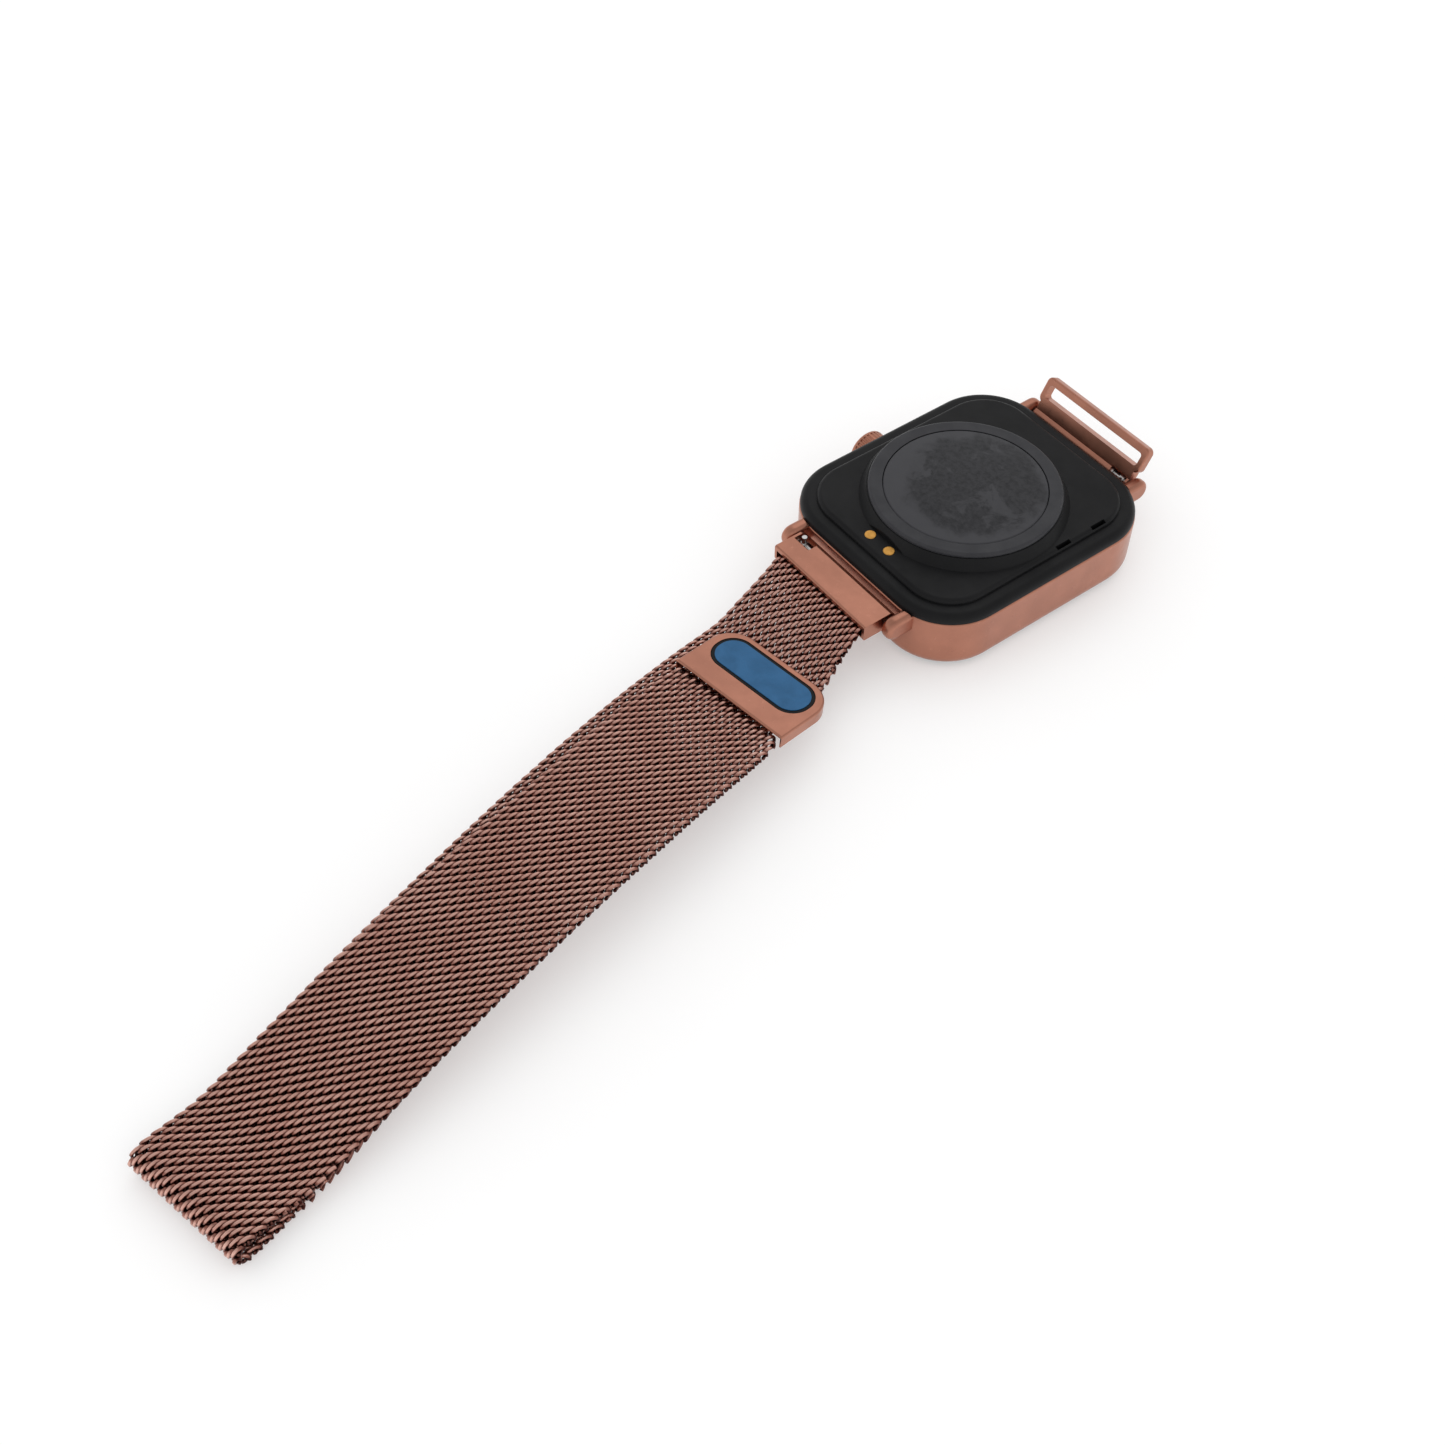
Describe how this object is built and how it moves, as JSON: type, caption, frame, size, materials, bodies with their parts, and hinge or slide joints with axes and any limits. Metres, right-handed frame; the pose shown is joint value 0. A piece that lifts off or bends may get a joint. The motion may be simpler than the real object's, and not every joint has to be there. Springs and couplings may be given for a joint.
{
  "type": "smartwatch",
  "caption": "Rounded-square smartwatch with turning crown, back sensor window and charging contacts, on a magnetic woven mesh strap with end link and loop.",
  "frame": {"origin": "centre of the flat face of the display glass, which the watch lies on", "axes": "+Z out of the back cover, +Y towards the strap loop, -X towards the crown"},
  "size_m": [0.0584, 0.168, 0.0139],
  "materials": {
    "rose_gold": "satin rose-gold plating",
    "mesh_wire": "woven rose-gold plated wire",
    "black_plastic": "satin black moulded plastic",
    "cover_glass": "polished dark glass",
    "black_adhesive": "black adhesive",
    "display": "unlit display",
    "circuit_board": "solder-masked board",
    "chip_resin": "moulded resin",
    "plain_steel": "bare stainless steel",
    "dark_plastic": "matte moulded plastic",
    "cell_foil": "foil pouch",
    "seal_rubber": "black silicone rubber",
    "grey_bezel": "polished grey bezel",
    "sensor_lens": "dark printed lens",
    "emitter_resin": "clear resin",
    "gold_contact": "gold plating",
    "magnet_plating": "nickel plating",
    "black_gloss": "gloss black",
    "blue_film": "satin blue protective film"
  },
  "bodies": {
    "case": {"case_frame": "rose_gold", "display_glass": "cover_glass", "glass_adhesive": "black_adhesive", "display_panel": "display", "main_board": "circuit_board", "board_chips": "chip_resin", "board_shield": "plain_steel", "chassis": "dark_plastic", "battery": "cell_foil", "vibration_motor": "plain_steel", "loudspeaker": "dark_plastic", "side_switch": "plain_steel", "back_cover": "black_plastic", "cover_gasket": "seal_rubber", "sensor_ring": "grey_bezel", "sensor_window": "sensor_lens", "sensor_board": "circuit_board", "sensor_emitters": "emitter_resin", "sensor_barrier": "dark_plastic", "charge_pin_left": "gold_contact", "charge_pin_right": "gold_contact", "crown_sleeve": "plain_steel", "chassis_screw_a": "plain_steel", "chassis_screw_b": "plain_steel", "chassis_screw_c": "plain_steel", "chassis_screw_d": "plain_steel"},
    "crown_slider": {"crown_stem": "plain_steel", "crown_seal": "seal_rubber"},
    "crown": {"crown_knob": "rose_gold"},
    "link": {"end_link": "rose_gold", "mesh_root": "mesh_wire", "near_bar_tube": "plain_steel", "near_bar_spring": "plain_steel"},
    "near_lever": {"near_bar_plunger": "plain_steel"},
    "loop": {"far_loop": "rose_gold", "far_bar_tube": "plain_steel", "far_bar_spring": "plain_steel"},
    "far_lever": {"far_bar_plunger": "plain_steel"},
    "neck": {"mesh_neck": "mesh_wire"},
    "strap_1": {"mesh_lower_1": "mesh_wire", "mesh_upper_1": "mesh_wire"},
    "clasp": {"mesh_tail": "mesh_wire", "clasp_plate": "rose_gold", "clasp_magnet": "magnet_plating", "clasp_inlay": "black_gloss", "clasp_film": "blue_film"},
    "strap_2": {"mesh_lower_2": "mesh_wire", "mesh_upper_2": "mesh_wire"},
    "strap_3": {"mesh_lower_3": "mesh_wire", "mesh_upper_3": "mesh_wire"},
    "strap_4": {"mesh_lower_4": "mesh_wire", "mesh_upper_4": "mesh_wire"},
    "strap_5": {"mesh_lower_5": "mesh_wire", "mesh_upper_5": "mesh_wire"},
    "strap_6": {"mesh_lower_6": "mesh_wire", "mesh_upper_6": "mesh_wire"},
    "strap_end": {"mesh_fold": "mesh_wire"}
  },
  "joints": [
    {"name": "crown_press", "type": "slide", "parent": "case", "child": "crown_slider", "axis": [1, 0, 0], "range_m": [0, 0.0004], "stiffness_N_per_m": 2500, "springref_m": -0.0004},
    {"name": "crown_turn", "type": "hinge", "parent": "crown_slider", "child": "crown", "pos_m": [-0.018, -0.001, 0.0052], "axis": [1, 0, 0], "continuous": true},
    {"name": "link_swing", "type": "hinge", "parent": "case", "child": "link", "pos_m": [0, -0.0231, 0.0076], "axis": [-1, 0, 0], "range_deg": [-20, 55]},
    {"name": "near_lever_slide", "type": "slide", "parent": "link", "child": "near_lever", "axis": [1, 0, 0], "range_m": [0, 0.0012], "stiffness_N_per_m": 800, "springref_m": -0.0005, "deforming": ["near_bar_spring"]},
    {"name": "loop_swing", "type": "hinge", "parent": "case", "child": "loop", "pos_m": [0, 0.0231, 0.0076], "axis": [1, 0, 0], "range_deg": [-77, 26]},
    {"name": "far_lever_slide", "type": "slide", "parent": "loop", "child": "far_lever", "axis": [-1, 0, 0], "range_m": [0, 0.0012], "stiffness_N_per_m": 800, "springref_m": -0.0005, "deforming": ["far_bar_spring"]},
    {"name": "curl_neck", "type": "hinge", "parent": "link", "child": "neck", "pos_m": [0.0012, -0.0304, 0.0073], "axis": [-1, 0, 0], "range_deg": [-6, 24]},
    {"name": "curl_1", "type": "hinge", "parent": "neck", "child": "strap_1", "pos_m": [0.00511, -0.03883, 0.00472], "axis": [-0.9732, -0.23, 0], "range_deg": [-6, 24]},
    {"name": "curl_2", "type": "hinge", "parent": "strap_1", "child": "strap_2", "pos_m": [0.01068, -0.06238, 0.00692], "axis": [-0.9732, -0.23, 0], "range_deg": [-6, 24]},
    {"name": "curl_3", "type": "hinge", "parent": "strap_2", "child": "strap_3", "pos_m": [0.01367, -0.07504, 0.00725], "axis": [-0.9732, -0.23, 0], "range_deg": [-6, 24]},
    {"name": "curl_4", "type": "hinge", "parent": "strap_3", "child": "strap_4", "pos_m": [0.01666, -0.08769, 0.00699], "axis": [-0.9732, -0.23, 0], "range_deg": [-6, 24]},
    {"name": "curl_5", "type": "hinge", "parent": "strap_4", "child": "strap_5", "pos_m": [0.01965, -0.10034, 0.00615], "axis": [-0.9732, -0.23, 0], "range_deg": [-6, 24]},
    {"name": "curl_6", "type": "hinge", "parent": "strap_5", "child": "strap_6", "pos_m": [0.02264, -0.11299, 0.00446], "axis": [-0.9732, -0.23, 0], "range_deg": [-6, 24]},
    {"name": "curl_7", "type": "hinge", "parent": "strap_6", "child": "strap_end", "pos_m": [0.02564, -0.12564, 0.00175], "axis": [-0.9732, -0.23, 0], "range_deg": [-6, 24]},
    {"name": "clasp_peel", "type": "hinge", "parent": "strap_1", "child": "clasp", "pos_m": [0.01018, -0.06024, 0.0083], "axis": [0.9732, 0.23, 0], "range_deg": [0, 70]}
  ],
  "couplings": [
    {"joint": "curl_1", "follows": "curl_neck", "ratio": 1},
    {"joint": "curl_2", "follows": "curl_neck", "ratio": 1},
    {"joint": "curl_3", "follows": "curl_neck", "ratio": 1},
    {"joint": "curl_4", "follows": "curl_neck", "ratio": 1},
    {"joint": "curl_5", "follows": "curl_neck", "ratio": 1},
    {"joint": "curl_6", "follows": "curl_neck", "ratio": 1},
    {"joint": "curl_7", "follows": "curl_neck", "ratio": 1}
  ]
}
